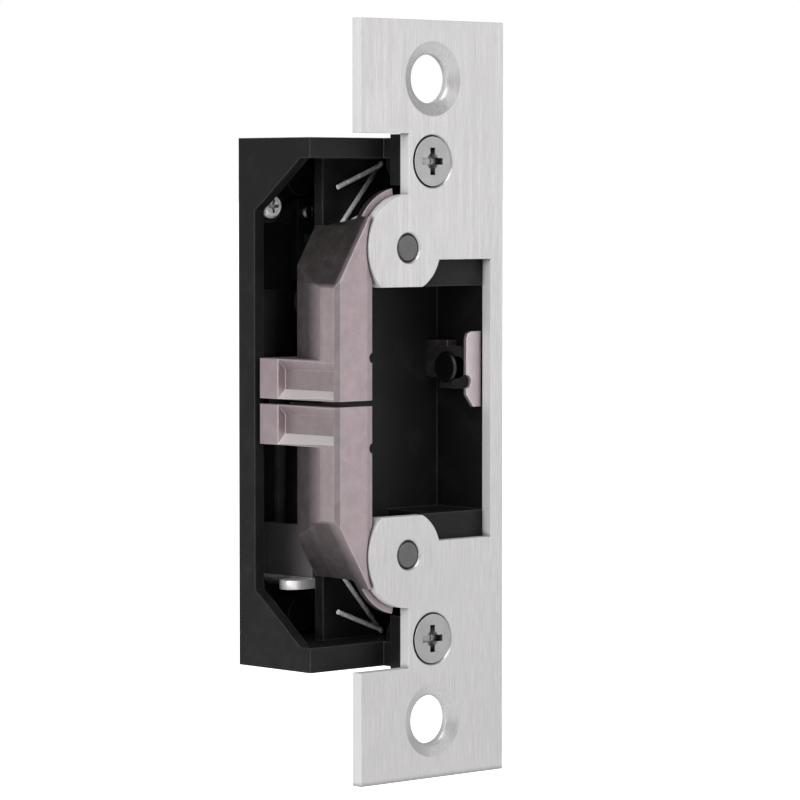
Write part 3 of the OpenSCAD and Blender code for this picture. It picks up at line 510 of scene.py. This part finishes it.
def keeper_spring(half, sign):
    """Torsion spring behind a keeper's hub: one leg pushes the keeper, the other hooks in the case."""
    joint = JOINTS[f"{half}_keeper_swing"]
    low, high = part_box(f"keeper_spring_{half}")
    pivot = Vector(joint["pos_m"])
    wire = 0.4 * MM
    radius = 5 * MM
    front = low.y + wire
    rear = high.y - wire

    def place(x, y, z):
        return Vector((x, y, sign * z))

    def touch(x, z, side):
        dx, dz = x - pivot.x, z - abs(pivot.z)
        return math.atan2(dz, dx) + side * math.acos(radius / math.hypot(dx, dz))

    tip_x, tip_z = low.x + wire, 12.5 * MM
    anchor_x, anchor_z = pivot.x + 5.45 * MM, 38.8 * MM
    hook_x, hook_z = anchor_x - 10.4 * MM, 34.8 * MM
    start = touch(tip_x, tip_z, -1) + 2 * math.pi
    end = touch(anchor_x, anchor_z, 1) - 2 * math.pi
    steps = 120
    path = [place(tip_x, front, tip_z)]
    for i in range(steps + 1):
        angle = start + (end - start) * i / steps
        path.append(place(pivot.x + radius * math.cos(angle), front + (rear - front) * i / steps,
                          abs(pivot.z) + radius * math.sin(angle)))
    turn = 0.8 * MM
    hook = Vector((hook_x - anchor_x, hook_z - anchor_z)).normalized()
    for i in range(1, 9):
        angle = math.pi * i / 8
        side = turn * (1 - math.cos(angle)) / 2
        ahead = turn * math.sin(angle) * 0.6
        path.append(place(anchor_x + ahead * 0.5 + hook.x * side, rear - side * 0.9,
                          anchor_z - turn * 0.2 + ahead * 0.5 + hook.y * side))
    path.append(place(hook_x, rear - 1.0 * MM, hook_z))
    spring = tube(f"spring_wire_{half}", path, wire, SPRING_STEEL)
    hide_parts(f"keeper_spring_{half}")
    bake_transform(spring)
    return spring


def plunger_spring():
    low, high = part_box("plunger_spring")
    wire = 0.28 * MM
    radius = (high.x - low.x) / 2 - wire
    centre = Vector(((low.x + high.x) / 2, (low.y + high.y) / 2, low.z + wire))
    path = helix(centre, Vector((0, 0, 1)), Vector((1, 0, 0)), radius, high.z - low.z - 2 * wire, 6)
    spring = tube("plunger_spring_wire", path, wire, SPRING_STEEL)
    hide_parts("plunger_spring")
    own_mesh(spring)
    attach(spring, "housing_body")


def trigger_spring():
    low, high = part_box("trigger_spring")
    wire = 0.17 * MM
    radius = (high.x - low.x) / 2 - wire
    centre = Vector(((low.x + high.x) / 2, low.y + wire, (low.z + high.z) / 2))
    path = helix(centre, Vector((0, 1, 0)), Vector((1, 0, 0)), radius, high.y - low.y - 2 * wire, 9)
    spring = tube("trigger_spring_wire", path, wire, SPRING_STEEL, 10)
    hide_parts("trigger_spring")
    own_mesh(spring)
    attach(spring, "housing_body")


def switch_leaf():
    """Leaf of the microswitch: a flat foot, a sloping blade and a rounded tip."""
    low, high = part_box("switch_leaf")
    thick = 0.3 * MM
    foot_end = low.x + 1.7 * MM
    rear = high.y - thick / 2
    outline = smooth_path([(low.x, rear, 0), (foot_end, rear, 0), (high.x - 1.2 * MM, low.y + 0.7 * MM, 0),
                           (high.x - 0.5 * MM, low.y + 0.15 * MM, 0), (high.x, low.y + 0.4 * MM, 0)], 6)
    bm = bmesh.new()
    rows = []
    for i, p in enumerate(outline):
        ahead = outline[min(i + 1, len(outline) - 1)] - outline[max(i - 1, 0)]
        side = Vector((-ahead.y, ahead.x, 0)).normalized() * thick / 2
        corners = [p - side, p + side]
        rows.append([bm.verts.new((c.x, c.y, z)) for c in corners for z in (low.z, high.z)])
    for a, b in zip(rows, rows[1:]):
        for i, j in ((0, 1), (1, 3), (3, 2), (2, 0)):
            bm.faces.new((a[i], a[j], b[j], b[i]))
    bm.faces.new([rows[0][i] for i in (0, 2, 3, 1)])
    bm.faces.new([rows[-1][i] for i in (0, 1, 3, 2)])
    bmesh.ops.recalc_face_normals(bm, faces=bm.faces)
    mesh = bpy.data.meshes.new("switch_leaf_strip")
    bm.to_mesh(mesh)
    bm.free()
    mesh.materials.append(SPRING_STEEL)
    leaf = new_object("switch_leaf_strip", mesh)
    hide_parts("switch_leaf")
    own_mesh(leaf)
    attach(leaf, "housing_body")


def lead_wires():
    """Insulated leads from the socket up to the board."""
    low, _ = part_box("lead_wires")
    socket_low, socket_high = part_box("connector_socket")
    board_low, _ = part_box("circuit_board")
    wire = 0.55 * MM
    run_y = low.y + wire
    first_pin = socket_low.x + 4.6 * MM
    pin_pitch = 2.8 * MM
    pin_z = (socket_low.z + socket_high.z) / 2
    first_lead = 5.3 * MM
    lead_pitch = 1.7 * MM
    for i in range(3):
        pin = first_pin + pin_pitch * i
        x = first_lead + lead_pitch * i
        sway = 0.25 * MM * (1 if i % 2 else -1)
        path = smooth_path([
            (pin, socket_low.y - 0.9 * MM, pin_z), (pin, run_y + 3.2 * MM, pin_z + 0.4 * MM),
            (x, run_y + 0.6 * MM, pin_z + 5 * MM), (x + sway, run_y, pin_z + 12 * MM),
            (x - sway, run_y + 0.1 * MM, 0), (x, run_y, board_low.z - 4 * MM),
            (x, run_y + 2 * MM, board_low.z + 0.8 * MM), (x, board_low.y - 0.7 * MM, board_low.z + 3.6 * MM)])
        lead = tube(f"lead_{i + 1}", path, wire * 0.95, INSULATION)
        if i == 0:
            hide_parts("lead_wires")
        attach(lead, "housing_body")


def coil_winding():
    """Coil under a spiral wrap of tape: each turn overlaps the one before with a small step."""
    low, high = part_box("solenoid_coil")
    centre_x, centre_y = (low.x + high.x) / 2, (low.y + high.y) / 2
    radius = (high.x - low.x) / 2
    inner = 3.5 * MM
    around, pitch = 72, 3.1 * MM
    rows = 110
    bm = bmesh.new()
    rings = []
    for j in range(rows + 1):
        z = low.z + (high.z - low.z) * j / rows
        ring = []
        for i in range(around):
            angle = 2 * math.pi * i / around
            phase = ((z - low.z) / pitch - i / around) % 1
            r = radius - 0.12 * MM * phase
            ring.append(bm.verts.new((centre_x + r * math.cos(angle), centre_y + r * math.sin(angle), z)))
        rings.append(ring)
    for level in (high.z, low.z):
        rings.append([bm.verts.new((centre_x + inner * math.cos(2 * math.pi * i / around),
                                    centre_y + inner * math.sin(2 * math.pi * i / around), level))
                      for i in range(around)])
    for a, b in zip(rings, rings[1:] + rings[:1]):
        for i in range(around):
            k = (i + 1) % around
            bm.faces.new((a[i], a[k], b[k], b[i]))
    bmesh.ops.recalc_face_normals(bm, faces=bm.faces)
    mesh = bpy.data.meshes.new("coil_wrap")
    bm.to_mesh(mesh)
    bm.free()
    mesh.materials.append(TAPE)
    coil = new_object("coil_wrap", mesh)
    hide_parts("solenoid_coil")
    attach(coil, "housing_body")


# ---------- stage, light and camera ----------


def camera_rays(shader):
    """1 for rays that the camera sees directly, 0 for rays that only light the scene."""
    return shader.node("ShaderNodeLightPath").outputs["Is Camera Ray"]


def stage():
    """A wide pale floor; it glows a little towards the camera so that it meets the white backdrop."""
    floor_z = CAD_BOX[0][2] - 0.05 * MM
    reach = 30
    bm = bmesh.new()
    bm.faces.new([bm.verts.new((x, y, floor_z))
                  for x, y in ((-reach, -reach), (reach, -reach), (reach, reach), (-reach, reach))])
    mesh = bpy.data.meshes.new("floor")
    bm.to_mesh(mesh)
    bm.free()
    s = Shader("floor_paper")
    tone = s.mix(s.noise(6, 2, 0.5), (0.90, 0.90, 0.90), (0.94, 0.94, 0.94))
    s.value(s.bsdf.inputs["Emission Color"], (1, 1, 1))
    mesh.materials.append(s.finish(base_color=tone, roughness=0.9, specular_ior_level=0.1,
                                   emission_strength=s.remap(camera_rays(s), 0, 1, 0.3, 0.85)))
    new_object("floor", mesh)


def area_light(name, place, target, size, power, colour=(1, 1, 1)):
    light = bpy.data.lights.new(name, "AREA")
    light.shape = "RECTANGLE"
    light.size, light.size_y = size
    light.energy = power
    light.color = colour
    made = new_object(name, light)
    made.location = place
    made.rotation_euler = (Vector(target) - Vector(place)).to_track_quat("-Z", "Y").to_euler()
    return made


def lights():
    middle = (0, 0, 0)
    area_light("key", (-0.35, -0.8, 0.8), middle, (0.7, 0.7), 4.6)
    area_light("fill", (-1.0, -0.15, 0.3), middle, (0.6, 0.8), 5.5)
    area_light("front", (0.6, -0.85, -0.15), middle, (0.8, 1.6), 3.4)
    world = bpy.data.worlds.new("studio")
    world.use_nodes = True
    tree = world.node_tree
    room = tree.nodes["Background"]
    # the room behind the object is darker than the side it is seen from
    direction = tree.nodes.new("ShaderNodeTexCoord")
    split = tree.nodes.new("ShaderNodeSeparateXYZ")
    fade = tree.nodes.new("ShaderNodeMapRange")
    fade.inputs["From Min"].default_value = -0.3
    fade.inputs["From Max"].default_value = 0.6
    fade.inputs["To Min"].default_value = 0.6
    fade.inputs["To Max"].default_value = 0.3
    tree.links.new(direction.outputs["Generated"], split.inputs[0])
    tree.links.new(split.outputs["Y"], fade.inputs["Value"])
    tree.links.new(fade.outputs["Result"], room.inputs["Strength"])
    room.inputs["Color"].default_value = (1, 1, 1, 1)
    backdrop = tree.nodes.new("ShaderNodeBackground")
    backdrop.inputs["Color"].default_value = (1, 1, 1, 1)
    rays = tree.nodes.new("ShaderNodeLightPath")
    mix = tree.nodes.new("ShaderNodeMixShader")
    tree.links.new(rays.outputs["Is Camera Ray"], mix.inputs[0])
    tree.links.new(room.outputs[0], mix.inputs[1])
    tree.links.new(backdrop.outputs[0], mix.inputs[2])
    tree.links.new(mix.outputs[0], tree.nodes["World Output"].inputs["Surface"])
    bpy.context.scene.world = world
    bpy.context.scene.view_settings.view_transform = "Standard"


def camera():
    """The camera stands left of the front, slightly raised, far away behind a long lens."""
    azimuth, elevation = math.radians(-42.87), math.radians(2.90)
    distance, aside, above = 671.07 * MM, -5.38 * MM, 0.10 * MM
    back = Vector((math.sin(azimuth) * math.cos(elevation),
                   -math.cos(azimuth) * math.cos(elevation), math.sin(elevation)))
    right = Vector((math.cos(azimuth), math.sin(azimuth), 0))
    up = back.cross(right)
    data = bpy.data.cameras.new("camera")
    data.lens = 185
    data.sensor_width = 36
    data.clip_start = 0.01
    made = new_object("camera", data)
    made.location = back * distance + right * aside + up * above
    made.rotation_euler = (-back).to_track_quat("-Z", "Y").to_euler()
    bpy.context.scene.camera = made


for node_name, (finish, bevel_width) in CAD_FINISHES.items():
    finish_cad(node_name, finish, bevel_width)
keeper_spring("upper", 1)
keeper_spring("lower", -1)
plunger_spring()
trigger_spring()
switch_leaf()
lead_wires()
coil_winding()
stage()
lights()
camera()
